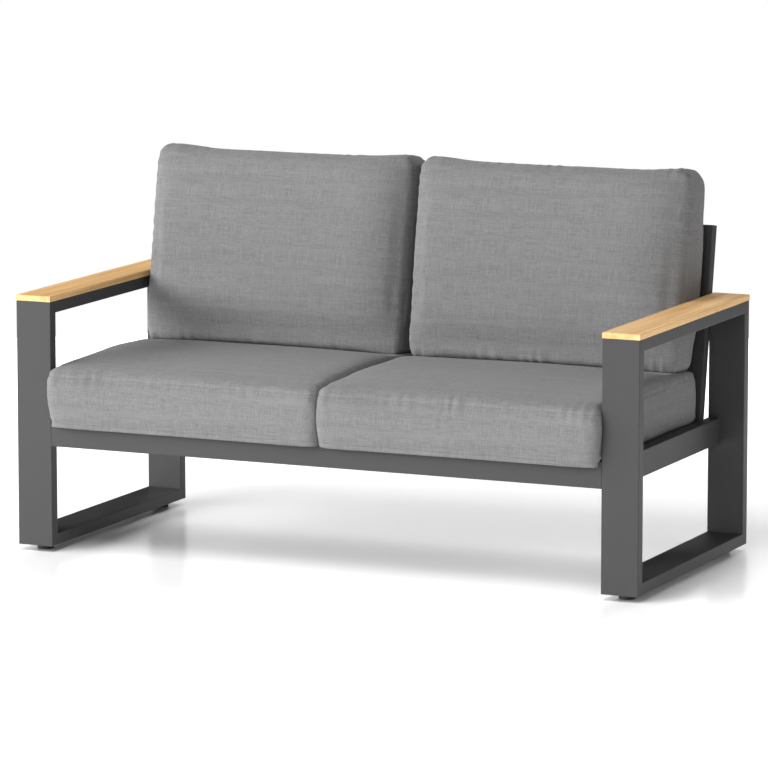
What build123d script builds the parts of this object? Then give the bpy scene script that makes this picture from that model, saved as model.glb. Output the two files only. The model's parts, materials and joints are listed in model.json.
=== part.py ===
from build123d import *
import math
import os

# Two-seat patio loveseat: two side loops of flat aluminium tube with wooden armrests,
# a slatted seat frame and a leaning slatted back bolted between them, and four loose cushions.
# Millimetres, +Z up, +X to the right as seen from the front, the sitter faces -Y.
# The origin is on the floor, midway across and midway of the whole depth.

os.makedirs("parts", exist_ok=True)

# Side loops
overall_width = 1400
side_frame_depth = 630
arm_frame_height = 532
loop_tube_width = 80
loop_tube_depth = 25
loop_wall = 2
tube_edge_radius = 1.6

# Foot glides
foot_height = 13
foot_diameter = 35
foot_edge_bevel = 1.2
foot_inset = 45
foot_stem_diameter = 8
foot_stem_length = 14

# Armrest slats and their screws
arm_slat_thickness = 12
arm_slat_overhang = 0.7
arm_slat_edge_radius = 2
arm_screw_diameter = 4.5
arm_screw_bite = 8
arm_screw_head_diameter = 9
arm_screw_head_height = 3
arm_screw_margin = 70
arm_screw_count = 3

# Seat rails
deck_height = 282
rail_height = 55
rail_thickness = 25
rail_wall = 2
seat_slat_width = 50
seat_slat_thickness = 15
seat_slat_wall = 1.5
seat_slats_per_side = 4

# Leaning back
back_height = 687
back_lean = 9.5
back_inset = 75
post_width = 50
post_depth = 25
post_wall = 2
post_seat_gap = 0.5
back_rail_height = 40
back_rail_rise = 25
back_slat_width = 40
back_slat_thickness = 15
back_slat_wall = 1.5
back_slat_count = 7
cap_thickness = 2.5
cap_plug_length = 12
cap_plug_play = 0.2

# Bolts, washers and threaded inserts
bolt_diameter = 6
bolt_head_diameter = 10.5
bolt_head_height = 3.3
bolt_hole_play = 0.5
washer_diameter = 14
washer_thickness = 1.5
insert_diameter = 9
insert_length = 13
thread_play = 0.1
frame_bolt_margin = 60
frame_bolt_count = 3
post_bolt_margin = 16

# Cushions
soft_clearance = 0.3
fit_clearance = 0.1
cushion_edge_radius = 22
cushion_corner_radius = 26
seat_cushion_thickness = 120
seat_cushion_crown = 14
seat_cushion_lip = 11
seat_cushion_lip_reach = 12
seat_cushion_lip_radius = 12
cushion_overhang = 25
seat_rear_bulge = 6
seat_draw_in = 3
seat_foam_rise = 6
back_cushion_top = 514
back_cushion_body = 111
back_cushion_front_crown = 18
back_cushion_rear_crown = 26
back_cushion_top_crown = 6
back_cushion_ear = 4
back_cushion_side_gap = 2
back_cushion_middle_gap = 6
back_draw_in = 8
back_front_draw_in = 2
foam_wrap = 15

# One overrun for every cut
cut_overrun = 1

# A cushion's sections: steps of its rounded end in quarter turns, and places between the ends
end_turn_shares = (0, 0.25, 0.5, 0.75, 1)
middle_station_shares = (0.26, 0.5, 0.74)
end_corner_share = 0.35
end_crown_share = 0.4

lean = math.radians(back_lean)
inner_half = overall_width / 2 - loop_tube_width
loop_centre = overall_width / 2 - loop_tube_width / 2
rail_bottom = deck_height - rail_height
rail_middle = deck_height - rail_height / 2

# The whole depth runs from the seat cushions' bulge to the upper rear edge of the back
back_rise = back_height - deck_height
back_setback = side_frame_depth - back_inset
back_reach = back_setback + back_rise * math.tan(lean) + post_depth * math.cos(lean)
front_y = cushion_overhang - (back_reach + cushion_overhang) / 2
rear_y = front_y + side_frame_depth
back_y = front_y + back_setback
rear_rail_face = back_y - rail_height * math.tan(lean) - post_seat_gap
apron_back = front_y + rail_thickness
rear_rail_front = rear_rail_face - rail_thickness

# The back is drawn on its own leaning plane: X across, Y up the lean, the normal towards the sitter
back_plane = Plane(
    origin=(0, back_y, deck_height),
    x_dir=(1, 0, 0),
    z_dir=(0, -math.cos(lean), math.sin(lean)),
)
back_top = back_rise / math.cos(lean)


def save(part, name):
    part.label = name
    export_step(part, f"parts/{name}.step")


def tube_profile(across, along, wall):
    """Hollow rectangular tube section with eased outer corners."""
    RectangleRounded(across, along, tube_edge_radius)
    Rectangle(across - 2 * wall, along - 2 * wall, mode=Mode.SUBTRACT)


def mitre(y_corner, z_corner, y_inward, z_inward):
    """Mitre plane of a loop corner; the upright tube is on the side that its normal points to."""
    return Plane(
        origin=(0, y_corner, z_corner),
        x_dir=(1, 0, 0),
        z_dir=(0, -y_inward, z_inward),
    )


def facing(x, y, z, sign):
    """Plane across X at a point, its normal along X in the given sense."""
    return Plane(origin=(x, y, z), x_dir=(0, 1, 0), z_dir=(sign, 0, 0))


def lengthwise(x, y, z):
    """Plane across Y at a point, with X across and Z up, its normal to the rear."""
    return Plane(origin=(x, y, z), x_dir=(-1, 0, 0), z_dir=(0, 1, 0))


def evenly(first, last, count):
    """Places from first to last at equal steps."""
    return [first + (last - first) * i / max(count - 1, 1) for i in range(count)]


# Where the frame is bolted: end rails along the seat, posts one bolt above the other
frame_bolt_ys = evenly(
    apron_back + frame_bolt_margin, rear_rail_front - frame_bolt_margin, frame_bolt_count
)
post_bolt_zs = (rail_bottom + post_bolt_margin, deck_height - post_bolt_margin)


def post_middle_y(z):
    """Middle of the leaning post's depth at a height."""
    return back_y + (z - deck_height) * math.tan(lean) + post_depth / 2 / math.cos(lean)


post_bolts = [(post_middle_y(z), z) for z in post_bolt_zs]
frame_bolts = [(y, rail_middle) for y in frame_bolt_ys]

front_low = mitre(front_y, foot_height, 1, 1)
front_high = mitre(front_y, arm_frame_height, 1, -1)
rear_low = mitre(rear_y, foot_height, -1, 1)
rear_high = mitre(rear_y, arm_frame_height, -1, -1)
loop_height = arm_frame_height - foot_height
foot_ys = (front_y + foot_inset, rear_y - foot_inset)
arm_screw_ys = evenly(front_y + arm_screw_margin, rear_y - arm_screw_margin, arm_screw_count)

for side, sign in (("left", -1), ("right", 1)):
    x = sign * loop_centre

    # Legs: upright tubes of the loop, mitred at both ends
    with BuildPart() as front_leg:
        with BuildSketch(Plane((x, front_y + loop_tube_depth / 2, foot_height))):
            tube_profile(loop_tube_width, loop_tube_depth, loop_wall)
        extrude(amount=loop_height)
        split(bisect_by=front_low, keep=Keep.TOP)
        split(bisect_by=front_high, keep=Keep.TOP)
    save(front_leg.part, f"{side}_front_leg")

    with BuildPart() as rear_leg:
        with BuildSketch(Plane((x, rear_y - loop_tube_depth / 2, foot_height))):
            tube_profile(loop_tube_width, loop_tube_depth, loop_wall)
        extrude(amount=loop_height)
        split(bisect_by=rear_low, keep=Keep.TOP)
        split(bisect_by=rear_high, keep=Keep.TOP)
    save(rear_leg.part, f"{side}_rear_leg")

    # Arm rail: top of the loop, drilled right through for the armrest screws
    with BuildPart() as arm_rail:
        with BuildSketch(lengthwise(x, front_y, arm_frame_height - loop_tube_depth / 2)):
            tube_profile(loop_tube_width, loop_tube_depth, loop_wall)
        extrude(amount=side_frame_depth)
        split(bisect_by=front_high, keep=Keep.BOTTOM)
        split(bisect_by=rear_high, keep=Keep.BOTTOM)
        with BuildSketch(Plane.XY.offset(arm_frame_height + cut_overrun)):
            with Locations([(x, y) for y in arm_screw_ys]):
                Circle(arm_screw_diameter / 2 + fit_clearance)
        extrude(amount=-loop_tube_depth - 2 * cut_overrun, mode=Mode.SUBTRACT)
    save(arm_rail.part, f"{side}_arm_rail")

    # Floor rail: bottom of the loop, with a hole for each foot's stem
    with BuildPart() as floor_rail:
        with BuildSketch(lengthwise(x, front_y, foot_height + loop_tube_depth / 2)):
            tube_profile(loop_tube_width, loop_tube_depth, loop_wall)
        extrude(amount=side_frame_depth)
        split(bisect_by=front_low, keep=Keep.BOTTOM)
        split(bisect_by=rear_low, keep=Keep.BOTTOM)
        with BuildSketch(Plane.XY.offset(foot_height - cut_overrun)):
            with Locations([(x, y) for y in foot_ys]):
                Circle(foot_stem_diameter / 2 + fit_clearance)
        extrude(amount=loop_wall + 2 * cut_overrun, mode=Mode.SUBTRACT)
    save(floor_rail.part, f"{side}_floor_rail")

    # Side rail: carries the seat and the back, between the legs and flush with their inner faces
    with BuildPart() as side_rail:
        x_rail = sign * (inner_half + rail_thickness / 2)
        with BuildSketch(lengthwise(x_rail, front_y + loop_tube_depth, rail_middle)):
            tube_profile(rail_thickness, rail_height, rail_wall)
        extrude(amount=side_frame_depth - 2 * loop_tube_depth)
        for y, z in frame_bolts + post_bolts:
            with BuildSketch(facing(sign * (inner_half - cut_overrun), y, z, sign)):
                Circle(insert_diameter / 2 + fit_clearance)
            extrude(amount=rail_wall + 2 * cut_overrun, mode=Mode.SUBTRACT)
    save(side_rail.part, f"{side}_side_rail")

    # Armrest: one wooden slat on top of the loop, flush on its inner side, pilot holes below
    with BuildPart() as armrest:
        slat_x = x + sign * arm_slat_overhang / 2
        with BuildSketch(Plane((slat_x, (front_y + rear_y) / 2, arm_frame_height))):
            Rectangle(
                loop_tube_width + arm_slat_overhang, side_frame_depth + 2 * arm_slat_overhang
            )
        extrude(amount=arm_slat_thickness)
        upper = armrest.faces().sort_by(Axis.Z)[-1]
        fillet(upper.edges(), arm_slat_edge_radius)
        with BuildSketch(Plane.XY.offset(arm_frame_height)):
            with Locations([(x, y) for y in arm_screw_ys]):
                Circle(arm_screw_diameter / 2 + fit_clearance)
        extrude(amount=arm_screw_bite + fit_clearance, mode=Mode.SUBTRACT)
    save(armrest.part, f"{side}_armrest")

    # Foot glides: moulded discs with a stem pushed into the floor rail
    for place, y in zip(("front", "rear"), foot_ys):
        with BuildPart() as foot:
            with BuildSketch(Plane((x, y, 0))):
                Circle(foot_diameter / 2)
            extrude(amount=foot_height)
            chamfer(foot.edges().sort_by(Axis.Z)[0], foot_edge_bevel)
            with BuildSketch(Plane((x, y, foot_height))):
                Circle(foot_stem_diameter / 2)
            extrude(amount=foot_stem_length)
        save(foot.part, f"{side}_{place}_foot")

    # End rail of the seat frame, bolted flat against the side rail
    with BuildPart() as end_rail:
        x_rail = sign * (inner_half - rail_thickness / 2)
        with BuildSketch(lengthwise(x_rail, apron_back, rail_middle)):
            tube_profile(rail_thickness, rail_height, rail_wall)
        extrude(amount=rear_rail_front - apron_back)
        for y, z in frame_bolts:
            with BuildSketch(facing(sign * (inner_half + cut_overrun), y, z, -sign)):
                Circle((bolt_diameter + bolt_hole_play) / 2)
            extrude(amount=rail_thickness + 2 * cut_overrun, mode=Mode.SUBTRACT)
    save(end_rail.part, f"{side}_seat_end_rail")

    # Back post: leans with the back, mitred to the top rail, cut level with the rails at its foot
    with BuildPart() as back_post:
        foot_of_post = -(rail_height + post_depth) / math.cos(lean)
        with BuildSketch(
            Plane(
                origin=back_plane.from_local_coords(
                    (sign * (inner_half - post_width / 2), foot_of_post, -post_depth / 2)
                ),
                x_dir=(1, 0, 0),
                z_dir=back_plane.y_dir,
            )
        ):
            tube_profile(post_width, post_depth, post_wall)
        extrude(amount=back_top - foot_of_post)
        post_mitre = Plane(
            origin=back_plane.from_local_coords((sign * inner_half, back_top, 0)),
            x_dir=back_plane.z_dir,
            z_dir=back_plane.x_dir * sign - back_plane.y_dir,
        )
        split(bisect_by=post_mitre, keep=Keep.TOP)
        split(bisect_by=Plane.XY.offset(rail_bottom), keep=Keep.TOP)
        for y, z in post_bolts:
            with BuildSketch(facing(sign * (inner_half + cut_overrun), y, z, -sign)):
                Circle((bolt_diameter + bolt_hole_play) / 2)
            extrude(amount=post_width + 2 * cut_overrun, mode=Mode.SUBTRACT)
    save(back_post.part, f"{side}_back_post")

    # Plug in the post's open foot: a flange over the cut and a plug up the bore
    with BuildPart() as post_cap:
        level_depth = post_depth / math.cos(lean)
        bore_depth = (post_depth - 2 * post_wall) / math.cos(lean)
        cap_y = post_middle_y(rail_bottom)
        cap_x = sign * (inner_half - post_width / 2)
        with BuildSketch(Plane((cap_x, cap_y, rail_bottom))):
            RectangleRounded(post_width, level_depth, tube_edge_radius)
        extrude(amount=-cap_thickness)
        with BuildSketch(Plane((cap_x, cap_y, rail_bottom))):
            Rectangle(
                post_width - 2 * post_wall - 2 * cap_plug_play, bore_depth - 2 * cap_plug_play
            )
        extrude(amount=cap_plug_length, dir=(0, math.sin(lean), math.cos(lean)))
    save(post_cap.part, f"{side}_post_plug")


# Seat frame: apron in front, rear rail against the posts, centre bearer between them
with BuildPart() as front_apron:
    with BuildSketch(facing(-inner_half, front_y + rail_thickness / 2, rail_middle, 1)):
        tube_profile(rail_thickness, rail_height, rail_wall)
    extrude(amount=2 * inner_half)
save(front_apron.part, "front_apron")

with BuildPart() as seat_rear_rail:
    with BuildSketch(facing(-inner_half, rear_rail_face - rail_thickness / 2, rail_middle, 1)):
        tube_profile(rail_thickness, rail_height, rail_wall)
    extrude(amount=2 * inner_half)
save(seat_rear_rail.part, "seat_rear_rail")

with BuildPart() as centre_bearer:
    with BuildSketch(lengthwise(0, apron_back, rail_middle)):
        tube_profile(rail_thickness, rail_height, rail_wall)
    extrude(amount=rear_rail_front - apron_back)
save(centre_bearer.part, "seat_centre_bearer")

# Seat slats: flat tubes from apron to rear rail, evenly spaced each side of the bearer
bay_start = rail_thickness / 2
bay_end = inner_half - rail_thickness
bay_gap = (bay_end - bay_start - seat_slats_per_side * seat_slat_width) / (seat_slats_per_side + 1)
seat_slat_xs = [
    bay_start + (i + 1) * bay_gap + (i + 0.5) * seat_slat_width
    for i in range(seat_slats_per_side)
]
seat_slat_z = deck_height - seat_slat_thickness / 2
for number, x in enumerate([-x for x in reversed(seat_slat_xs)] + seat_slat_xs, start=1):
    with BuildPart() as seat_slat:
        with BuildSketch(lengthwise(x, apron_back, seat_slat_z)):
            tube_profile(seat_slat_width, seat_slat_thickness, seat_slat_wall)
        extrude(amount=rear_rail_front - apron_back)
    save(seat_slat.part, f"seat_slat_{number}")

# Back frame: top rail mitred to the posts, bottom rail between them
with BuildPart() as back_top_rail:
    with BuildSketch(
        Plane(
            origin=back_plane.from_local_coords(
                (-inner_half, back_top - post_width / 2, -post_depth / 2)
            ),
            x_dir=back_plane.y_dir,
            z_dir=(1, 0, 0),
        )
    ):
        tube_profile(post_width, post_depth, post_wall)
    extrude(amount=2 * inner_half)
    for sign in (-1, 1):
        rail_mitre = Plane(
            origin=back_plane.from_local_coords((sign * inner_half, back_top, 0)),
            x_dir=back_plane.z_dir,
            z_dir=back_plane.y_dir - back_plane.x_dir * sign,
        )
        split(bisect_by=rail_mitre, keep=Keep.TOP)
save(back_top_rail.part, "back_top_rail")

with BuildPart() as back_bottom_rail:
    with BuildSketch(
        Plane(
            origin=back_plane.from_local_coords(
                (post_width - inner_half, back_rail_rise + back_rail_height / 2, -post_depth / 2)
            ),
            x_dir=back_plane.y_dir,
            z_dir=(1, 0, 0),
        )
    ):
        tube_profile(back_rail_height, post_depth, post_wall)
    extrude(amount=2 * (inner_half - post_width))
save(back_bottom_rail.part, "back_bottom_rail")

# Back slats: upright flat tubes between the two rails, flush with the front of the back
slat_bottom = back_rail_rise + back_rail_height
slat_top = back_top - post_width
clear_width = 2 * (inner_half - post_width)
slat_gap = (clear_width - back_slat_count * back_slat_width) / (back_slat_count + 1)
for number in range(1, back_slat_count + 1):
    x = -clear_width / 2 + number * slat_gap + (number - 0.5) * back_slat_width
    with BuildPart() as back_slat:
        with BuildSketch(
            Plane(
                origin=back_plane.from_local_coords((x, slat_bottom, -back_slat_thickness / 2)),
                x_dir=(1, 0, 0),
                z_dir=back_plane.y_dir,
            )
        ):
            tube_profile(back_slat_width, back_slat_thickness, back_slat_wall)
        extrude(amount=slat_top - slat_bottom)
    save(back_slat.part, f"back_slat_{number}")

# Bolts: button heads inside the frame, shanks through rail or post into the side rail
seats = [(sign, y, z, rail_thickness) for sign in (-1, 1) for y, z in frame_bolts]
seats += [(sign, y, z, post_width) for sign in (-1, 1) for y, z in post_bolts]
with BuildPart() as frame_bolt_set:
    for sign, y, z, grip in seats:
        with BuildSketch(facing(sign * (inner_half - grip - washer_thickness), y, z, sign)):
            Circle(bolt_diameter / 2)
        extrude(amount=washer_thickness + grip + insert_length - bolt_hole_play)
        with BuildSketch(facing(sign * (inner_half - grip - washer_thickness), y, z, -sign)):
            Circle(bolt_head_diameter / 2)
        extrude(amount=bolt_head_height)
save(frame_bolt_set.part, "frame_bolts")

with BuildPart() as washers:
    for sign, y, z, grip in seats:
        with BuildSketch(facing(sign * (inner_half - grip), y, z, -sign)):
            Circle(washer_diameter / 2)
            Circle((bolt_diameter + bolt_hole_play) / 2, mode=Mode.SUBTRACT)
        extrude(amount=washer_thickness)
save(washers.part, "frame_washers")

# Threaded inserts: sleeves set through the side rails' inner walls
with BuildPart() as inserts:
    for sign, y, z, grip in seats:
        with BuildSketch(facing(sign * inner_half, y, z, sign)):
            Circle(insert_diameter / 2)
            Circle(bolt_diameter / 2 + thread_play, mode=Mode.SUBTRACT)
        extrude(amount=insert_length)
save(inserts.part, "threaded_inserts")

# Armrest screws: pan heads under the arm rail, shanks up into the wood
arm_rail_underside = arm_frame_height - loop_tube_depth
with BuildPart() as arm_screws:
    for place in [(sign * loop_centre, y) for sign in (-1, 1) for y in arm_screw_ys]:
        with BuildSketch(Plane((*place, arm_rail_underside))):
            Circle(arm_screw_diameter / 2)
        extrude(amount=loop_tube_depth + arm_screw_bite)
        with BuildSketch(Plane((*place, arm_rail_underside))):
            Circle(arm_screw_head_diameter / 2)
        extrude(amount=-arm_screw_head_height)
save(arm_screws.part, "armrest_screws")


def stations(x_start, x_end):
    """Sections of a cushion from end to end: place, share of the width, fullness of the end."""
    width = x_end - x_start
    steps = [share * math.pi / 2 for share in end_turn_shares]
    near = [(cushion_edge_radius * (1 - math.cos(turn)), math.sin(turn)) for turn in steps]
    places = [(x_start + travel, travel / width, fullness) for travel, fullness in near]
    places += [(x_start + share * width, share, 1) for share in middle_station_shares]
    places += [(x_end - travel, 1 - travel / width, full) for travel, full in reversed(near)]
    return places


def towards_ends(share):
    """0 at the middle of a cushion's width, 1 at its ends."""
    return (2 * share - 1) ** 2


def eased(full_size, end_share, fullness):
    """A size that falls to a share of itself at a cushion's end."""
    return full_size * (end_share + (1 - end_share) * fullness)


# Cushion widths, from the middle line to the side loops
seat_span = (soft_clearance, inner_half - 2 * soft_clearance)
back_span = (back_cushion_middle_gap / 2, inner_half - back_cushion_side_gap)
seat_width = seat_span[1] - seat_span[0]

# Seat cushion outline at the middle of its width, in Y and Z
seat_bottom = deck_height + soft_clearance
seat_edge_top = seat_bottom + seat_cushion_thickness - seat_cushion_crown
seat_lip_face = front_y - soft_clearance
seat_lip_bottom = deck_height - seat_cushion_lip
seat_front_edge = seat_lip_face - seat_cushion_lip_reach
seat_bulge = cushion_overhang - seat_cushion_lip_reach - soft_clearance
seat_rear = back_y - soft_clearance - seat_rear_bulge
seat_half_depth = (seat_rear - seat_front_edge) / 2
seat_middle_y = (seat_rear + seat_front_edge) / 2
seat_crown_radius = (seat_half_depth**2 + seat_cushion_crown**2) / (2 * seat_cushion_crown)


def seat_cushion(x_start, x_end):
    """Crowned box cushion: a lip hangs over the apron, and the sides draw in towards its corners."""
    foam_hollow = seat_foam(x_start, x_end, soft_clearance)
    with BuildPart() as cushion:
        for x, share, fullness in stations(x_start, x_end):
            inset = cushion_edge_radius * (1 - fullness)
            draw = inset + seat_draw_in * towards_ends(share)
            reach = eased(seat_cushion_lip_reach, end_crown_share, fullness)
            bulge = eased(seat_bulge, end_crown_share, fullness)
            corner = eased(cushion_corner_radius, end_corner_share, fullness)
            lip_corner = eased(seat_cushion_lip_radius, end_corner_share, fullness)
            front = seat_lip_face - reach
            bottom = seat_bottom + inset
            lip = seat_lip_bottom + inset
            top = seat_edge_top - draw
            rear = seat_rear - draw
            with BuildSketch(Plane.YZ.offset(x)) as section:
                with BuildLine():
                    Polyline(
                        (rear, bottom), (seat_lip_face, bottom), (seat_lip_face, lip), (front, lip)
                    )
                    ThreePointArc((front, lip), (front - bulge, (lip + top) / 2), (front, top))
                    ThreePointArc(
                        (front, top),
                        ((front + rear) / 2, top + seat_cushion_crown),
                        (rear, top),
                    )
                    ThreePointArc(
                        (rear, top), (rear + seat_rear_bulge, (bottom + top) / 2), (rear, bottom)
                    )
                make_face()
                corners = section.vertices()
                upper_corners = corners.group_by(Axis.Y)[-1]
                rear_corner = corners.group_by(Axis.X)[-1].sort_by(Axis.Y)[0]
                fillet([*upper_corners, rear_corner], corner)
                fillet(section.vertices().group_by(Axis.Y)[0].sort_by(Axis.X)[0], lip_corner)
        loft(ruled=True)
        add(foam_hollow, mode=Mode.SUBTRACT)
    return cushion.part


def seat_foam(x_start, x_end, growth):
    """Square-cut slab inside a seat cushion, or with growth the hollow that holds it."""
    low = seat_bottom + seat_foam_rise - growth
    high = seat_edge_top - foam_wrap + growth
    near = seat_lip_face + soft_clearance - growth
    far = seat_rear - foam_wrap + growth
    with BuildPart() as slab:
        with BuildSketch(Plane.YZ.offset(x_start + foam_wrap - growth)):
            with Locations(((near + far) / 2, (low + high) / 2)):
                Rectangle(far - near, high - low)
        extrude(amount=x_end - x_start - 2 * (foam_wrap - growth))
    return slab.part


def back_section(x):
    """Plane across X in the back's lean: its X runs to the rear, its Y up the lean."""
    return Plane(
        origin=(x, back_y, deck_height),
        x_dir=(0, math.cos(lean), -math.sin(lean)),
        z_dir=(1, 0, 0),
    )


def on_seat(behind):
    """Height up the lean, just clear of the seat cushion's crown, at a place behind the back's plane."""
    rise = seat_cushion_thickness
    for settling in range(5):
        y = back_y + behind * math.cos(lean) + rise * math.sin(lean)
        drop = seat_crown_radius - math.sqrt(seat_crown_radius**2 - (y - seat_middle_y) ** 2)
        z = seat_bottom + seat_cushion_thickness + soft_clearance - drop
        rise = (z - deck_height + behind * math.sin(lean)) / math.cos(lean)
    return rise


back_rear_edge = -soft_clearance - back_cushion_rear_crown
back_front_edge = back_rear_edge - back_cushion_body


def back_cushion(x_start, x_end):
    """Crowned box cushion that leans on the slats and follows the seat cushion's top below."""
    foam_hollow = back_foam(x_start, x_end, soft_clearance)
    with BuildPart() as cushion:
        for x, share, fullness in stations(x_start, x_end):
            inset = cushion_edge_radius * (1 - fullness)
            front_crown = eased(back_cushion_front_crown, end_crown_share, fullness)
            rear_crown = eased(back_cushion_rear_crown, end_crown_share, fullness)
            corner = eased(cushion_corner_radius, end_corner_share, fullness)
            front = back_front_edge + inset + back_front_draw_in * towards_ends(share)
            rear = back_rear_edge - inset - back_draw_in * towards_ends(share)
            middle = (front + rear) / 2
            top = back_cushion_top - back_cushion_ear * (1 - towards_ends(share)) - inset
            below = inset - seat_draw_in * towards_ends((abs(x) - seat_span[0]) / seat_width)
            half_way = (top + on_seat(middle)) / 2
            with BuildSketch(back_section(x)) as section:
                with BuildLine():
                    ThreePointArc(
                        (front, on_seat(front) + below),
                        (middle, on_seat(middle) + below),
                        (rear, on_seat(rear) + below),
                    )
                    ThreePointArc(
                        (rear, on_seat(rear) + below), (rear + rear_crown, half_way), (rear, top)
                    )
                    ThreePointArc(
                        (rear, top), (middle, top + back_cushion_top_crown), (front, top)
                    )
                    ThreePointArc(
                        (front, top),
                        (front - front_crown, half_way),
                        (front, on_seat(front) + below),
                    )
                make_face()
                fillet(section.vertices(), corner)
        loft(ruled=True)
        add(foam_hollow, mode=Mode.SUBTRACT)
    return cushion.part


def back_foam(x_start, x_end, growth):
    """Square-cut slab inside a back cushion, or with growth the hollow that holds it."""
    near = back_front_edge + foam_wrap - growth
    far = back_rear_edge - foam_wrap + growth
    low = on_seat(back_front_edge) + foam_wrap - growth
    high = back_cushion_top - back_cushion_ear - foam_wrap + growth
    with BuildPart() as slab:
        with BuildSketch(back_section(x_start + foam_wrap - growth)):
            with Locations(((near + far) / 2, (low + high) / 2)):
                Rectangle(far - near, high - low)
        extrude(amount=x_end - x_start - 2 * (foam_wrap - growth))
    return slab.part


# Cushions from the middle line to the side loops, mirrored left and right
for side, sign in (("left", -1), ("right", 1)):
    seat_ends = sorted(sign * x for x in seat_span)
    back_ends = sorted(sign * x for x in back_span)
    save(seat_cushion(*seat_ends), f"{side}_seat_cushion")
    save(seat_foam(*seat_ends, 0), f"{side}_seat_foam")
    save(back_cushion(*back_ends), f"{side}_back_cushion")
    save(back_foam(*back_ends, 0), f"{side}_back_foam")
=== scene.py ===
import json
import math

import bmesh
import bpy
import numpy as np
from mathutils import Matrix, Vector, noise
from mathutils.bvhtree import BVHTree


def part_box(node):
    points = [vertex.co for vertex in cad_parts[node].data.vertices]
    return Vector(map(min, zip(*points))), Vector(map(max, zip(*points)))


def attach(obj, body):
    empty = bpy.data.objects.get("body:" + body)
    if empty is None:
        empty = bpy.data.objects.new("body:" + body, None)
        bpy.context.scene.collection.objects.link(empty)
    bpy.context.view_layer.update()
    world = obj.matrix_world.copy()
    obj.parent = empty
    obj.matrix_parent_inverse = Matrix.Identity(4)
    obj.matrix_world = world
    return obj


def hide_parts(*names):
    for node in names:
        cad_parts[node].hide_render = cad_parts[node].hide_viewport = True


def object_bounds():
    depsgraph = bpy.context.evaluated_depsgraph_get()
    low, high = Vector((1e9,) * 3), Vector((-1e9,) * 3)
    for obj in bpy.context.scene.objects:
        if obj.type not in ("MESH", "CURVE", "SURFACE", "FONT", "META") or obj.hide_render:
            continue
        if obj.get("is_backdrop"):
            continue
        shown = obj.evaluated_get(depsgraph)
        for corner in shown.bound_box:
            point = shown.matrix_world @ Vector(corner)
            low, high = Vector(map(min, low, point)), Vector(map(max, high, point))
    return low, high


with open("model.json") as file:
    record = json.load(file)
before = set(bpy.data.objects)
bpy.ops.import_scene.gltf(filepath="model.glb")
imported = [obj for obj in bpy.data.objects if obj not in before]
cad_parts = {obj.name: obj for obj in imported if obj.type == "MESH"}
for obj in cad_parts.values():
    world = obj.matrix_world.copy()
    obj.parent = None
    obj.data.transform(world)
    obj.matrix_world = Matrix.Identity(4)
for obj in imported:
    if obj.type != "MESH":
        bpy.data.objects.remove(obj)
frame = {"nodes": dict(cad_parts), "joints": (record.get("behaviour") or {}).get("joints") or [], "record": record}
cad_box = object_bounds()
scene = bpy.context.scene

# Camera
# A long lens from the right and a little above, far enough away that upright edges stay nearly parallel,
# as in the catalogue picture of the loveseat.
camera_azimuth = math.radians(24.187)
camera_elevation = math.radians(8.975)
camera_distance = 10.5864
camera_target = Vector((0.0028, 0.0038, 0.3543))
camera_data = bpy.data.cameras.new("camera")
camera_data.lens = 236.4
camera_data.sensor_width = 36
camera_data.clip_end = 100
camera = bpy.data.objects.new("camera", camera_data)
turn = Matrix.Rotation(camera_azimuth, 4, "Z") @ Matrix.Rotation(math.pi / 2 - camera_elevation, 4, "X")
camera.matrix_world = Matrix.Translation(camera_target) @ turn @ Matrix.Translation((0, 0, camera_distance))
scene.collection.objects.link(camera)
scene.camera = camera


# Studio floor
# A wide sheet of satin white acrylic under the loveseat. It is bright enough to wash out to white, gives back
# a faint blurred reflection of the legs, and glows towards its rim, so that no edge shows.
class Shade:
    """A shader socket: arithmetic on it adds Math nodes, and node() adds every other kind."""

    def __init__(self, tree, socket=None):
        self.tree = tree
        self.socket = socket

    def node(self, kind, settings=None, inputs=None, output=0):
        made = self.tree.nodes.new("ShaderNode" + kind)
        for name, value in (settings or {}).items():
            setattr(made, name, value)
        for name, value in (inputs or {}).items():
            if isinstance(value, Shade):
                self.tree.links.new(value.socket, made.inputs[name])
            else:
                made.inputs[name].default_value = value
        return Shade(self.tree, made.outputs[output])

    def math(self, operation, first, second=0.0):
        return self.node("Math", {"operation": operation}, {0: first, 1: second})

    def __add__(self, other):
        return self.math("ADD", self, other)

    def __mul__(self, other):
        return self.math("MULTIPLY", self, other)

    def __sub__(self, other):
        return self.math("SUBTRACT", self, other)

    def __rsub__(self, other):
        return self.math("SUBTRACT", other, self)

    def __abs__(self):
        return self.math("ABSOLUTE", self)

    __radd__ = __add__
    __rmul__ = __mul__

    def sine(self):
        return self.math("SINE", self)

    def mapped(self, low, high, to_low=0.0, to_high=1.0):
        """This value moved smoothly from one range to another."""
        ranges = {"From Min": low, "From Max": high, "To Min": to_low, "To Max": to_high}
        return self.node("MapRange", {"interpolation_type": "SMOOTHSTEP"}, {"Value": self, **ranges})

    def stretched(self, scale):
        """This place with each direction scaled by its own amount."""
        return self.node("Mapping", {}, {"Vector": self, "Scale": scale})

    def noise(self, scale, detail=2.0, roughness=0.5, distortion=0.0):
        """Soft random value at this place."""
        sizes = {"Scale": scale, "Detail": detail, "Roughness": roughness, "Distortion": distortion}
        return self.node("TexNoise", {}, {"Vector": self, **sizes})

    def blend(self, first, second):
        """Colour between two, this value being the share of the second."""
        colors = {0: self, 6: first, 7: second}
        return self.node("Mix", {"data_type": "RGBA"}, colors, output=2)

    def bump(self, distance, strength=1.0):
        """Normal pushed in and out by this height."""
        return self.node("Bump", {}, {"Height": self, "Distance": distance, "Strength": strength})


def finish(name, **constants):
    """A new material with a Principled shader: its constants set, and a start for its pattern."""
    material = bpy.data.materials.new(name)
    material.use_nodes = True
    surface = material.node_tree.nodes["Principled BSDF"]
    for socket, value in constants.items():
        surface.inputs[socket.replace("_", " ")].default_value = value
    return material, surface, Shade(material.node_tree)


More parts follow.
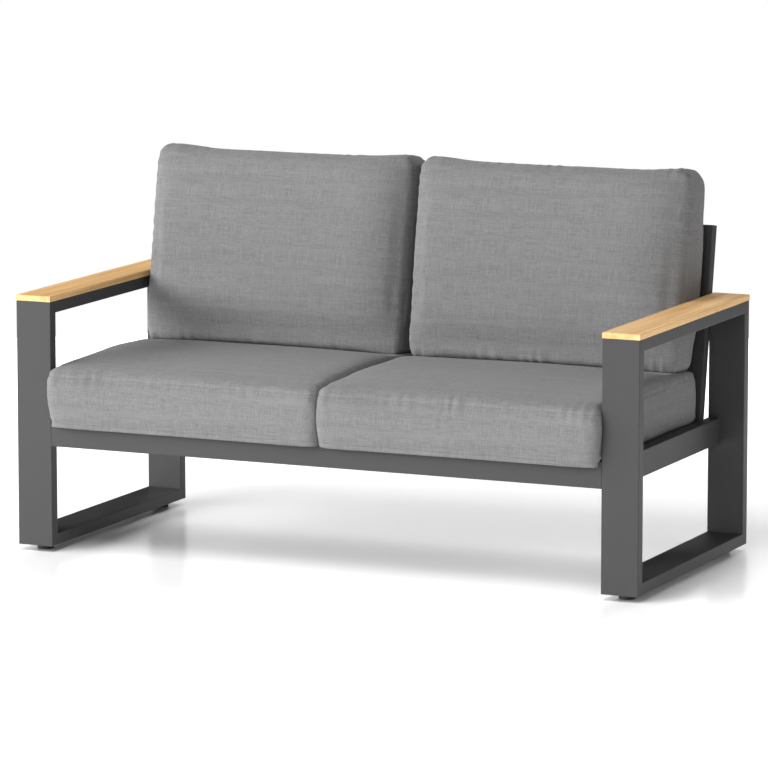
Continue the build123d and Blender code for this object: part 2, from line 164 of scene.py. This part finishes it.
def feed(surface, **shades):
    """Link worked-out shades to a surface's sockets."""
    for socket, shade in shades.items():
        shade.tree.links.new(shade.socket, surface.inputs[socket.replace("_", " ")])


def toned(color, share=1.0):
    """A colour made darker or paler by a share, ready for a socket."""
    return (*(part * share for part in color), 1)


floor_radius = 3.2
floor_sides = 128
glow_start = 1.0
floor_color = (0.66, 0.66, 0.66)
floor_form = bmesh.new()
bmesh.ops.create_circle(floor_form, cap_ends=True, segments=floor_sides, radius=floor_radius)
floor_mesh = bpy.data.meshes.new("studio_floor")
floor_form.to_mesh(floor_mesh)
floor_form.free()
floor = bpy.data.objects.new("studio_floor", floor_mesh)
scene.collection.objects.link(floor)
acrylic, acrylic_surface, start = finish("white_acrylic", Roughness=0.2, IOR=1.4, Emission_Strength=1)
place = start.node("TexCoord", output=3)
smudge = place.noise(3)
outwards = place.node("VectorMath", {"operation": "LENGTH"}, {0: place}, output=1)
feed(
    acrylic_surface,
    Base_Color=smudge.blend(toned(floor_color, 0.99), toned(floor_color, 1.01)),
    Emission_Color=outwards.mapped(glow_start, floor_radius).blend((0, 0, 0, 1), (1, 1, 1, 1)),
)
floor_mesh.materials.append(acrylic)
floor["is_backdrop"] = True

# Studio lights
# Soft boxes in a dim room: the main one far out on the left, a second on the left, weaker ones in front and
# on the right, one high behind that lights the seats and the armrests, and a faint one overhead.
# Two more light the floor alone: an overhead box, and a glowing backdrop that the floor mirrors.
room_light = 0.033
aimed_height = 0.4
world = bpy.data.worlds.new("white_room")
world.use_nodes = True
room = Shade(world.node_tree)
background = world.node_tree.nodes["Background"]
background.inputs["Color"].default_value = (1, 1, 1, 1)
seen = room.node("LightPath")
world.node_tree.links.new((seen * (1 - room_light) + room_light).socket, background.inputs["Strength"])
scene.world = world
scene.view_settings.view_transform = "Standard"
floor_alone = bpy.data.collections.new("floor_alone")
floor_alone.objects.link(floor)
for name, azimuth, elevation, distance, size, power in (
    ("far_left_box", -62, 20, 9.0, (6.0, 4.0), 870),
    ("left_box", -35, 15, 8.0, (3.0, 3.0), 340),
    ("front_box", 12, 15, 5.0, (3.0, 3.0), 100),
    ("right_box", 90, 20, 6.0, (3.0, 3.0), 80),
    ("rear_box", 180, 50, 6.0, (3.0, 3.0), 165),
    ("top_box", -20, 45, 6.0, (3.0, 3.0), 47),
    ("floor_box", -10, 62, 6.0, (3.0, 3.0), 400),
    ("floor_backdrop", 204, 0, 5.0, (16.0, 6.0), 250),
):
    light_data = bpy.data.lights.new(name, "AREA")
    light_data.shape = "RECTANGLE"
    light_data.size, light_data.size_y = size
    light_data.energy = power
    light = bpy.data.objects.new(name, light_data)
    swung = Matrix.Rotation(math.radians(azimuth), 4, "Z")
    tipped = Matrix.Rotation(math.radians(90 - elevation), 4, "X")
    centre = Matrix.Translation((0, 0, aimed_height))
    light.matrix_world = centre @ swung @ tipped @ Matrix.Translation((0, 0, distance))
    scene.collection.objects.link(light)
    if name.startswith("floor"):
        light.light_linking.receiver_collection = floor_alone


# Powder-coated frame
# Side loops, seat frame and back frame are aluminium tube, mitred, welded and ground flush,
# then powder coated charcoal grey with the fine dry grain of outdoor paint.
coat_color = (0.0445, 0.0447, 0.0452)
coat, coat_surface, start = finish("charcoal_powder_coat", IOR=1.35)
place = start.node("TexCoord", output=3)
cloud = place.noise(5, detail=3)
grain = place.noise(1400, detail=1)
orange_peel = place.noise(260, detail=1)
speck = place.noise(900, detail=0).mapped(0.62, 0.74)
tone = cloud.blend(toned(coat_color, 0.94), toned(coat_color, 1.06))
feed(
    coat_surface,
    Base_Color=(speck * 0.35).blend(tone, toned(coat_color, 1.5)),
    Roughness=0.4 + cloud * 0.06 + grain * 0.06,
    Normal=(grain * 0.5 + orange_peel).bump(0.00006, 0.5),
)
slots = {part["node"]: part["material_slot"] for part in frame["record"]["subparts"]}


def dress(slot, material):
    """Give every node of a material slot its finish."""
    for node, its_slot in slots.items():
        if its_slot == slot:
            for material_slot in frame["nodes"][node].material_slots:
                material_slot.material = material


dress("frame_metal", coat)

# Wooden armrests
# One plank of oiled honey-coloured hardwood lies on each arm rail, held by screws from below.
# Its grain runs along the arm, and its edges are eased by sanding.
heartwood = (0.62, 0.335, 0.112)
sapwood = (0.89, 0.575, 0.265)
pore_color = (0.30, 0.15, 0.055)
wood, wood_surface, start = finish("oiled_hardwood", Coat_Weight=0.03, Coat_Roughness=0.35, IOR=1.4)
place = start.node("TexCoord", output=3)
sway = place.stretched((3, 0.8, 3)).noise(2, detail=1)
year_rings = place.stretched((1, 0.035, 1)).noise(46, detail=5, roughness=0.62, distortion=0.35)
streak = place.stretched((1, 0.012, 1)).noise(330, detail=3, roughness=0.6)
pores = place.stretched((1, 0.03, 1)).noise(1500, detail=1).mapped(0.6, 0.72)
growth = (year_rings * 0.65 + streak * 0.25 + sway * 0.2).mapped(0.38, 0.72)
board = growth.blend(toned(sapwood), toned(heartwood))
feed(
    wood_surface,
    Base_Color=(pores * 0.45).blend(board, toned(pore_color)),
    Roughness=0.46 + growth * 0.12 + pores * 0.15,
    Normal=(streak * 0.4 - pores).bump(0.00012, 0.6),
)
dress("armrest_wood", wood)

# Foot glides and post plugs
# Injection-moulded black polyamide with a fine spark-eroded texture, scuffed by use.
# Round glides are pushed into the floor rails, and flanged plugs close the lower ends of the back posts.
moulded_color = (0.012, 0.012, 0.013)
moulded, moulded_surface, start = finish("black_moulding")
place = start.node("TexCoord", output=3)
spark = place.noise(1100, detail=1)
scuff = place.noise(60, detail=3).mapped(0.55, 0.75)
feed(
    moulded_surface,
    Base_Color=(scuff * 0.4).blend(toned(moulded_color), toned(moulded_color, 2.5)),
    Roughness=0.42 + spark * 0.12 + scuff * 0.15,
    Normal=spark.bump(0.00008, 0.5),
)
dress("glide_plastic", moulded)

# Fasteners
# Stainless bolts, washers and threaded inserts join the seat and the back to the side rails, and screws hold
# the armrests. All are bright with fine turning marks, and the heads are domed with a hexagon socket.
steel_color = (0.56, 0.56, 0.55)
steel, steel_surface, start = finish("stainless_steel", Metallic=1)
place = start.node("TexCoord", output=3)
turning = place.stretched((0.1, 1, 1)).noise(2600, detail=1)
film = place.noise(90, detail=2)
feed(
    steel_surface,
    Base_Color=film.blend(toned(steel_color, 0.9), toned(steel_color, 1.1)),
    Roughness=0.22 + film * 0.1 + turning * 0.1,
    Normal=turning.bump(0.00003, 0.4),
)
dress("fastener_steel", steel)
merge_distance = 0.00001
head_sides = 24
head_rim = 0.3
dome_flat = 0.55
dome_swings = (25, 50, 75)
socket_rim = 0.52
socket_share = 0.375
socket_depth = 0.6
soft_edge = math.radians(35)


def merged(node):
    """A node's mesh as a bmesh, its loose triangles joined."""
    form = bmesh.new()
    form.from_mesh(frame["nodes"][node].data)
    bmesh.ops.remove_doubles(form, verts=form.verts, dist=merge_distance)
    return form


def solids_in(form):
    """The vertices of each separate solid in a bmesh."""
    seen_verts = set()
    for first in form.verts:
        if first in seen_verts:
            continue
        seen_verts.add(first)
        solid = [first]
        for vert in solid:
            for edge in vert.link_edges:
                other = edge.other_vert(vert)
                if other not in seen_verts:
                    seen_verts.add(other)
                    solid.append(other)
        yield solid


def driven(steelwork, foot, outwards, length, shank, head, height):
    """Add a bolt or screw whose domed head stands on its foot, with a hexagon socket that faces outwards."""
    turn = Vector((0, 0, 1)).rotation_difference(outwards).to_matrix().to_4x4()
    rings = [(shank, -length), (shank, 0), (head, 0), (head, height * head_rim)]
    for swing in dome_swings:
        across, up = math.cos(math.radians(swing)), math.sin(math.radians(swing))
        dome_radius = head * (dome_flat + (1 - dome_flat) * across)
        rings.append((dome_radius, height * (head_rim + (1 - head_rim) * up)))
    rings += [(head * socket_rim, height), (None, height), (None, height * (1 - socket_depth))]
    loops = []
    for index, (radius, rise) in enumerate(rings):
        is_end = index in (0, len(rings) - 1)
        made = bmesh.ops.create_circle(steelwork, cap_ends=is_end, segments=head_sides, radius=radius or 1)
        circle = made["verts"]
        for vert in circle:
            if radius is None:
                from_flat = math.atan2(vert.co.y, vert.co.x) % (math.pi / 3) - math.pi / 6
                vert.co *= head * socket_share / math.cos(from_flat)
            vert.co.z = rise
        loops.append(list(dict.fromkeys(edge for vert in circle for edge in vert.link_edges)))
        bmesh.ops.transform(steelwork, verts=circle, matrix=Matrix.Translation(foot) @ turn)
    for first, second in zip(loops, loops[1:]):
        bmesh.ops.bridge_loops(steelwork, edges=first + second)


for node, axis, shank, head, height in (
    ("frame_bolts", 0, 0.003, 0.00525, 0.0033),
    ("armrest_screws", 2, 0.00225, 0.0045, 0.003),
):
    steelwork = bmesh.new()
    plain = merged(node)
    for solid in solids_in(plain):
        corners = np.array([vert.co for vert in solid])
        low, high = corners.min(0), corners.max(0)
        middle = (low + high) / 2
        outwards = Vector((-np.sign(middle[0]), 0, 0)) if axis == 0 else Vector((0, 0, -1))
        length = high[axis] - low[axis] - height
        foot = Vector(middle) + outwards * ((length + height) / 2 - height)
        driven(steelwork, foot, outwards, length, shank, head, height)
    plain.free()
    bmesh.ops.recalc_face_normals(steelwork, faces=steelwork.faces)
    mesh = bpy.data.meshes.new(f"{node}_dressed")
    steelwork.to_mesh(mesh)
    steelwork.free()
    mesh.polygons.foreach_set("use_smooth", [True] * len(mesh.polygons))
    mesh.set_sharp_from_angle(angle=soft_edge)
    mesh.materials.append(steel)
    heads = bpy.data.objects.new(f"{node}_dressed", mesh)
    scene.collection.objects.link(heads)
    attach(heads, "frame")
    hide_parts(node)

# Foam slabs
# Cut slabs of open-cell foam, pale cream and full of small holes, each hole darkened by painted shade.
# One lies loose inside each cushion's cover and its wrap of fibre.
foam_color = (0.80, 0.76, 0.64)
foam, foam_surface, start = finish("cream_foam", Roughness=0.95)
place = start.node("TexCoord", output=3)
# One mask digs each cell's pit with the bump and paints the middle of the pit 30% darker, as painted shade in the
# hole.
pits_and_painted_shade = place.node("TexVoronoi", {}, {"Vector": place, "Scale": 700}, output=0).mapped(0.1, 0.7)
feed(
    foam_surface,
    Base_Color=pits_and_painted_shade.blend(toned(foam_color, 0.7), toned(foam_color)),
    Normal=pits_and_painted_shade.bump(0.0006, 0.7),
)
dress("foam", foam)


# Seat cushions
# Loose box cushions: woven covers round foam wrapped in fibre, which crowns the top and fills the edges.
# Each rests flat on the slats between the side loops, and its front rolls over the apron.
yarn_color = (0.165, 0.165, 0.1665)
thread_pitch = 0.0009
weave, weave_surface, start = finish("melange_weave", Sheen_Weight=0.1, Sheen_Roughness=0.5, IOR=1.35)
cloth_place = start.node("UVMap", {"uv_map": "cloth"})
across = cloth_place.node("SeparateXYZ", {}, {0: cloth_place}, output=0)
along = cloth_place.node("SeparateXYZ", {}, {0: cloth_place}, output=1)
weft_slub = cloth_place.stretched((22, 520, 1)).noise(1, detail=3, roughness=0.65)
warp_slub = cloth_place.stretched((520, 22, 1)).noise(1, detail=3, roughness=0.65)
weft_fleck = cloth_place.stretched((110, 1300, 1)).noise(1, detail=1)
warp_fleck = cloth_place.stretched((1300, 110, 1)).noise(1, detail=1)
dye_streak = cloth_place.stretched((2.5, 60, 1)).noise(1, detail=3)
melange = weft_slub * 0.9 + warp_slub * 0.9 + weft_fleck * 0.6 + warp_fleck * 0.6 + dye_streak * 0.35
melange = melange.mapped(1.32, 2.03)
turns = math.pi / thread_pitch
crossing = (across * turns).sine() * (along * turns).sine()
seam = start.node("Attribute", {"attribute_name": "seam"}, output=2)
seam_shade = abs(seam).mapped(0.0005, 0.0018, 1, 0)
yarn = melange.blend(toned(yarn_color, 0.76), toned(yarn_color, 1.22))
feed(
    weave_surface,
    Base_Color=(seam_shade * 0.2).blend(yarn, toned(yarn_color, 0.4)),
    Roughness=0.84 + melange * 0.1,
    Normal=(crossing * 0.35 + melange - seam_shade * 1.2).bump(0.0003, 0.5),
)

# The cover before and after it is blown up
swell_start = 0.003
voxel = 0.008
cloth_frames = 20
cloth_pressure = 2
cloth_spare = 0.03
smoothing = 40
least_room = 0.0005
ear_reach = 0.04
bulge_ramp = 0.004

# Seams, the rolls beside them, puckers along them, and dents all over
seam_depth = 0.012
groove_depth = 0.001
groove_width = 0.004
roll_height = 0.0006
roll_offset = 0.011
pucker_height = 0.0013
pucker_spacing = 0.03
pucker_reach = 0.022
pucker_drift = 5
wander_across = 9
wander_along = 11
high_seam_shift = 7
dent_height = 0.0014
dent_size = 0.15
calm_gain = 1.2
calm_start = 0.7
side_cut = (1.7, 2.3)


def applied(piece):
    """Turn a piece's modifiers into its mesh."""
    graph = bpy.context.evaluated_depsgraph_get()
    mesh = bpy.data.meshes.new_from_object(piece.evaluated_get(graph))
    piece.modifiers.clear()
    piece.data = mesh


def points_of(mesh, normals=False):
    """Every vertex of a mesh, or its normal, as rows of an array."""
    flat = np.empty(len(mesh.vertices) * 3)
    if normals:
        mesh.vertex_normals.foreach_get("vector", flat)
    else:
        mesh.vertices.foreach_get("co", flat)
    return flat.reshape(-1, 3)


def evened(rise, mesh):
    """The rise of every vertex evened out with its neighbours', so that the cloth doesn't buckle."""
    ends = np.empty(len(mesh.edges) * 2, int)
    mesh.edges.foreach_get("vertices", ends)
    ends = np.concatenate((ends.reshape(-1, 2), ends.reshape(-1, 2)[:, ::-1]))
    neighbours = np.bincount(ends[:, 0], minlength=len(rise))
    for _ in range(smoothing):
        rise = (rise + np.bincount(ends[:, 0], rise[ends[:, 1]], len(rise)) / neighbours) / 2
    return rise


def swollen(name, node, room):
    """A cover blown up from its shrunken solid, without its hollow, as far as each place has room."""
    form = merged(node)
    _, *hollow = sorted(solids_in(form), key=lambda solid: -max(abs(vert.co.x) for vert in solid))
    bmesh.ops.delete(form, geom=[vert for solid in hollow for vert in solid], context="VERTS")
    form.normal_update()
    for vert in form.verts:
        vert.co -= vert.normal * swell_start
    mesh = bpy.data.meshes.new(name)
    form.to_mesh(mesh)
    form.free()
    cover = bpy.data.objects.new(name, mesh)
    scene.collection.objects.link(cover)
    remesh = cover.modifiers.new("even_mesh", "REMESH")
    remesh.mode = "VOXEL"
    remesh.voxel_size = voxel
    applied(cover)
    before = points_of(cover.data)
    normals = points_of(cover.data, normals=True)
    cloth = cover.modifiers.new("swell", "CLOTH")
    cloth.settings.use_pressure = True
    cloth.settings.uniform_pressure_force = cloth_pressure
    cloth.settings.effector_weights.gravity = 0
    cloth.settings.shrink_min = -cloth_spare
    for step in range(1, cloth_frames + 1):
        scene.frame_set(step)
    applied(cover)
    scene.frame_set(1)
    rise = evened(((points_of(cover.data) - before) * normals).sum(1), cover.data)
    proud, sunk = room(before)
    swell = np.where(rise > 0, proud * np.tanh(rise / proud), sunk * np.tanh(rise / sunk))
    cover.data.vertices.foreach_set("co", (before + normals * (swell_start + swell)[:, None]).ravel())
    finer = cover.modifiers.new("finer", "SUBSURF")
    finer.levels = finer.render_levels = 1
    applied(cover)
    cover.data.polygons.foreach_set("use_smooth", [True] * len(cover.data.polygons))
    return cover


def tightened(local, tilts, shape):
    """Edges and corners pulled out to their seams, and a panel that rises from its seams like a pillow."""
    half = np.abs(local).max(0)
    share = np.clip(local[:, 2] / half[2] / 2 + 0.5, 0, 1)
    at_panel = sum((2 * tilts[:, axis] * tilts[:, 2]) ** 2 for axis in (0, 1))
    pull = (shape["rear_pull"] + (shape["panel_pull"] - shape["rear_pull"]) * share) * at_panel
    pull += shape["corner_pull"] * (2 * tilts[:, 0] * tilts[:, 1]) ** 2
    local = local + tilts * pull[:, None]
    half = np.abs(local).max(0)
    inside = half - np.abs(local)
    local[:, 1] -= shape["ear"] * np.exp(-inside[:, 0] / ear_reach - (local[:, 1] + half[1]) / ear_reach)
    profile = np.ones(len(local))
    for axis, end, width in shape["rolls"]:
        from_edge = np.clip((half[axis] - local[:, axis] * end) / width, 0, 1)
        profile *= np.sqrt(1 - (1 - from_edge) ** 2)
    rise = local[:, 2] - shape["high_seam"]
    risen = (rise + shape["bulge"] * np.clip(rise / bulge_ramp, 0, 1)) * profile
    local[:, 2] = np.where(rise > 0, shape["high_seam"] + risen, local[:, 2])
    return local


def lay_cloth(cover, local, axes):
    """Give a cover its weave, with its panels, long sides and short sides each laid flat as they were cut."""
    facing = np.empty(len(cover.data.polygons) * 3)
    cover.data.polygons.foreach_get("normal", facing)
    facing = np.abs(facing.reshape(-1, 3) @ axes.T)
    counts = np.empty(len(cover.data.polygons), int)
    cover.data.polygons.foreach_get("loop_total", counts)
    facing = np.repeat(facing, counts, axis=0)
    corners = np.empty(len(cover.data.loops), int)
    cover.data.loops.foreach_get("vertex_index", corners)
    u, v, w = local[corners].T
    on_panel = facing[:, 2] > math.sqrt(0.5)
    on_long_side = facing[:, 1] > facing[:, 0]
    flat_u = np.where(on_panel | on_long_side, u, v + side_cut[0])
    flat_v = np.where(on_panel, v, w + side_cut[1])
    cloth_map = cover.data.uv_layers.new(name="cloth")
    cloth_map.uv.foreach_set("vector", np.stack([flat_u, flat_v], axis=1).ravel())
    cover.data.materials.clear()
    cover.data.materials.append(weave)


def sewn(cover, axes, shape, kept):
    """A swollen cover with its seams, puckers and soft dents, held in its place and dressed in its cloth."""
    points = points_of(cover.data)
    middle = (points.max(0) + points.min(0)) / 2
    local = tightened((points - middle) @ axes.T, points_of(cover.data, normals=True) @ axes.T, shape)
    points = local @ axes + middle
    cover.data.vertices.foreach_set("co", points.ravel())
    cover.data.update()
    normals = points_of(cover.data, normals=True)
    high_seam, low_seam = shape["high_seam"], shape["low_seam"]
    inside = np.abs(local).max(0) - np.abs(local)
    near_high = local[:, 2] > (high_seam + low_seam) / 2
    past_seam = np.where(near_high, local[:, 2] - high_seam, low_seam - local[:, 2])
    distance = np.hypot(past_seam, np.maximum(inside[:, :2].min(1) - seam_depth, 0))
    from_seam = np.copysign(distance, past_seam)
    run = np.where(inside[:, 0] < inside[:, 1], local[:, 1], local[:, 0])
    run += np.where(near_high, high_seam_shift, 0)
    spots = zip(points[:, 0] * wander_across, run * wander_along)
    wander = np.array([noise.noise((*spot, 0.5)) for spot in spots])
    dents = np.array([noise.noise(Vector(point) / dent_size) for point in points])
    height = -groove_depth * np.exp(-((from_seam / groove_width) ** 2))
    height += roll_height * np.exp(-(((np.abs(from_seam) - roll_offset) / (roll_offset / 2)) ** 2))
    pucker = np.cos(2 * math.pi * run / pucker_spacing + pucker_drift * wander) * (0.5 + wander)
    lively = np.clip(local[:, 2] / np.abs(local[:, 2]).max() * calm_gain + calm_start, 0, 1)
    height += pucker_height * pucker * np.exp(-((distance / pucker_reach) ** 2)) * lively
    height += dent_height * dents * lively
    points = kept(points + normals * height[:, None])
    cover.data.vertices.foreach_set("co", points.ravel())
    seam_mark = cover.data.attributes.new("seam", "FLOAT", "POINT")
    seam_mark.data.foreach_set("value", from_seam)
    lay_cloth(cover, (points - middle) @ axes.T, axes)
    return cover


# Where a seat cushion lies, and how far it may swell there
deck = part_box("front_apron")[1].z
apron_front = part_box("front_apron")[0].y
lip_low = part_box("left_seat_cushion")[0].z
seat_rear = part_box("left_seat_cushion")[1].y
leg_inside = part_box("right_front_leg")[0].x
cushion_gap = 0.0006
over_leg = 0.005
apron_edge = 0.004
leg_edge = 0.001
lip_flat = 0.0035
lip_eased = 0.015
seat_slack = 0.008
seat_sink = 0.0025
back_rests_from, back_rests_fully = 0.05, 0.04
back_rests_above = 0.06
rear_held_from, rear_held_fully = 0.2, 0.02

# How its edges and its top are drawn; a roll has an axis, an end of it and how far in it reaches
seat_shape = {
    "rear_pull": 0.008,
    "panel_pull": 0.002,
    "corner_pull": 0,
    "ear": 0,
    "high_seam": 0.038,
    "low_seam": -0.058,
    "bulge": 0.003,
    "rolls": ((0, 1, 0.02), (0, -1, 0.02), (1, -1, 0.04)),
}


def seat_room(points):
    """A seat cushion may swell everywhere but under the back cushion and at the rear."""
    under_back = np.clip((points[:, 1] - back_rests_from) / back_rests_fully, 0, 1)
    under_back *= points[:, 2] > deck + back_rests_above
    free = (1 - under_back) * np.clip((rear_held_from - points[:, 1]) / rear_held_fully, 0, 1)
    return least_room + seat_slack * free, least_room + seat_sink * (1 - under_back)


def seat_kept(points):
    """A seat cushion lies on the slats and in front of the apron, between the loops, with a flat lip."""
    held = points.copy()
    held[:, 1] = np.minimum(held[:, 1], seat_rear)
    low = held[:, 2] < deck + cushion_gap / 2
    over_apron = held[:, 1] < apron_front + apron_edge
    off_apron = np.minimum(held[:, 1], apron_front - cushion_gap / 2)
    held[:, 1] = np.where(low & over_apron, off_apron, held[:, 1])
    held[:, 2] = np.where(low & ~over_apron, deck + cushion_gap / 2, held[:, 2])
    above_lip = held[:, 2] - lip_low
    flattened = np.maximum(above_lip - lip_flat, 0) * lip_eased / (lip_eased - lip_flat)
    on_lip = (above_lip < lip_eased) & (held[:, 1] < apron_front)
    held[:, 2] = np.where(on_lip, lip_low + flattened, held[:, 2])
    widest = leg_inside - cushion_gap + np.clip(apron_front - leg_edge - held[:, 1], 0, over_leg)
    side = np.sign(held[:, 0].mean())
    held[:, 0] = side * np.clip(held[:, 0] * side, cushion_gap / 2, widest)
    return held


seat_tops = {}
for side in ("left", "right"):
    name = f"{side}_seat_cushion"
    cover = sewn(swollen(f"{side}_seat_cover", name, seat_room), np.identity(3), seat_shape, seat_kept)
    seat_tops[side] = BVHTree.FromObject(cover, bpy.context.evaluated_depsgraph_get())
    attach(cover, f"{side}_seat")
    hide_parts(name)

# Back cushions
# Loose box cushions like the seat's, softer and fuller, with the same woven cover.
# They stand on the seat cushions and lean against the slats, fuller below and slumped at the right end.
# Their axes run across, up the lean and out towards the sitter.
up_lean = next(Vector(joint["axis"]) for joint in frame["joints"] if joint["name"] == "left_back_lift")
out_lean = Vector((1, 0, 0)).cross(up_lean)
back_axes = np.array((Vector((1, 0, 0)), up_lean, out_lean))
slats_out = (points_of(frame["nodes"]["back_slat_4"].data) @ back_axes[2]).max()
back_slack = 0.006
back_sink = 0.0015
panel_from, panel_fully = 0.006, 0.02
free_above, freely_above = 0.16, 0.04
rest_reach = 0.2
rest_depth = 0.06
slump = 0.022
slump_reach = 0.15
left_tuck = 0.0045
right_tuck = {"left": 0.016, "right": 0.009}
belly = 0.012
belly_reach = 0.1
back_shape = {
    "rear_pull": -0.003,
    "panel_pull": 0.0085,
    "corner_pull": -0.004,
    "ear": 0.012,
    "high_seam": 0.052,
    "low_seam": -0.032,
    "bulge": 0.012,
    "rolls": ((0, 1, 0.14), (0, -1, 0.05), (1, 1, 0.05), (1, -1, 0.14)),
}


def back_kept(points):
    """A back cushion sags, and stays on the seat cushion, in front of the slats and between the loops."""
    side = "left" if points[:, 0].mean() < 0 else "right"
    near_left = 1 - np.clip((points[:, 0] - points[:, 0].min()) / slump_reach, 0, 1)
    near_right = 1 - np.clip((points[:, 0].max() - points[:, 0]) / slump_reach, 0, 1)
    out = points @ back_axes[2]
    up = points @ back_axes[1]
    sag = belly * np.exp((up.min() - up) / belly_reach) - slump * (1 - np.sqrt(1 - near_right**2))
    sag *= np.clip((out - slats_out) / (out.max() - slats_out), 0, 1)
    back_off = np.maximum(slats_out + cushion_gap / 2 - out, sag)
    held = points + back_off[:, None] * back_axes[2]
    held[:, 0] += left_tuck * near_left**2 - right_tuck[side] * near_right**2
    for point in held:
        if point[2] < deck + rest_reach:
            above = (point[0], point[1], point[2] + rest_depth)
            under = seat_tops[side].ray_cast(above, (0, 0, -1))[0]
            if under:
                point[2] = max(point[2], under.z + cushion_gap / 2)
    sign = -1 if side == "left" else 1
    held[:, 0] = sign * np.clip(held[:, 0] * sign, cushion_gap, leg_inside - cushion_gap)
    return held


def back_room(points):
    """A back cushion may swell a little in front and above, and hardly elsewhere."""
    out = points @ back_axes[2]
    free = np.clip((out - slats_out - panel_from) / panel_fully, 0, 1)
    free *= np.clip((points[:, 2] - deck - free_above) / freely_above, 0, 1)
    return least_room + back_slack * free, np.full(len(points), back_sink)


for side in ("left", "right"):
    name = f"{side}_back_cushion"
    cover = sewn(swollen(f"{side}_back_cover", name, back_room), back_axes, back_shape, back_kept)
    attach(cover, f"{side}_back")
    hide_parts(name)

boxes = {"cad": cad_box, "visual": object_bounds()}
{kind: [list(corner) for corner in box] for kind, box in boxes.items()}
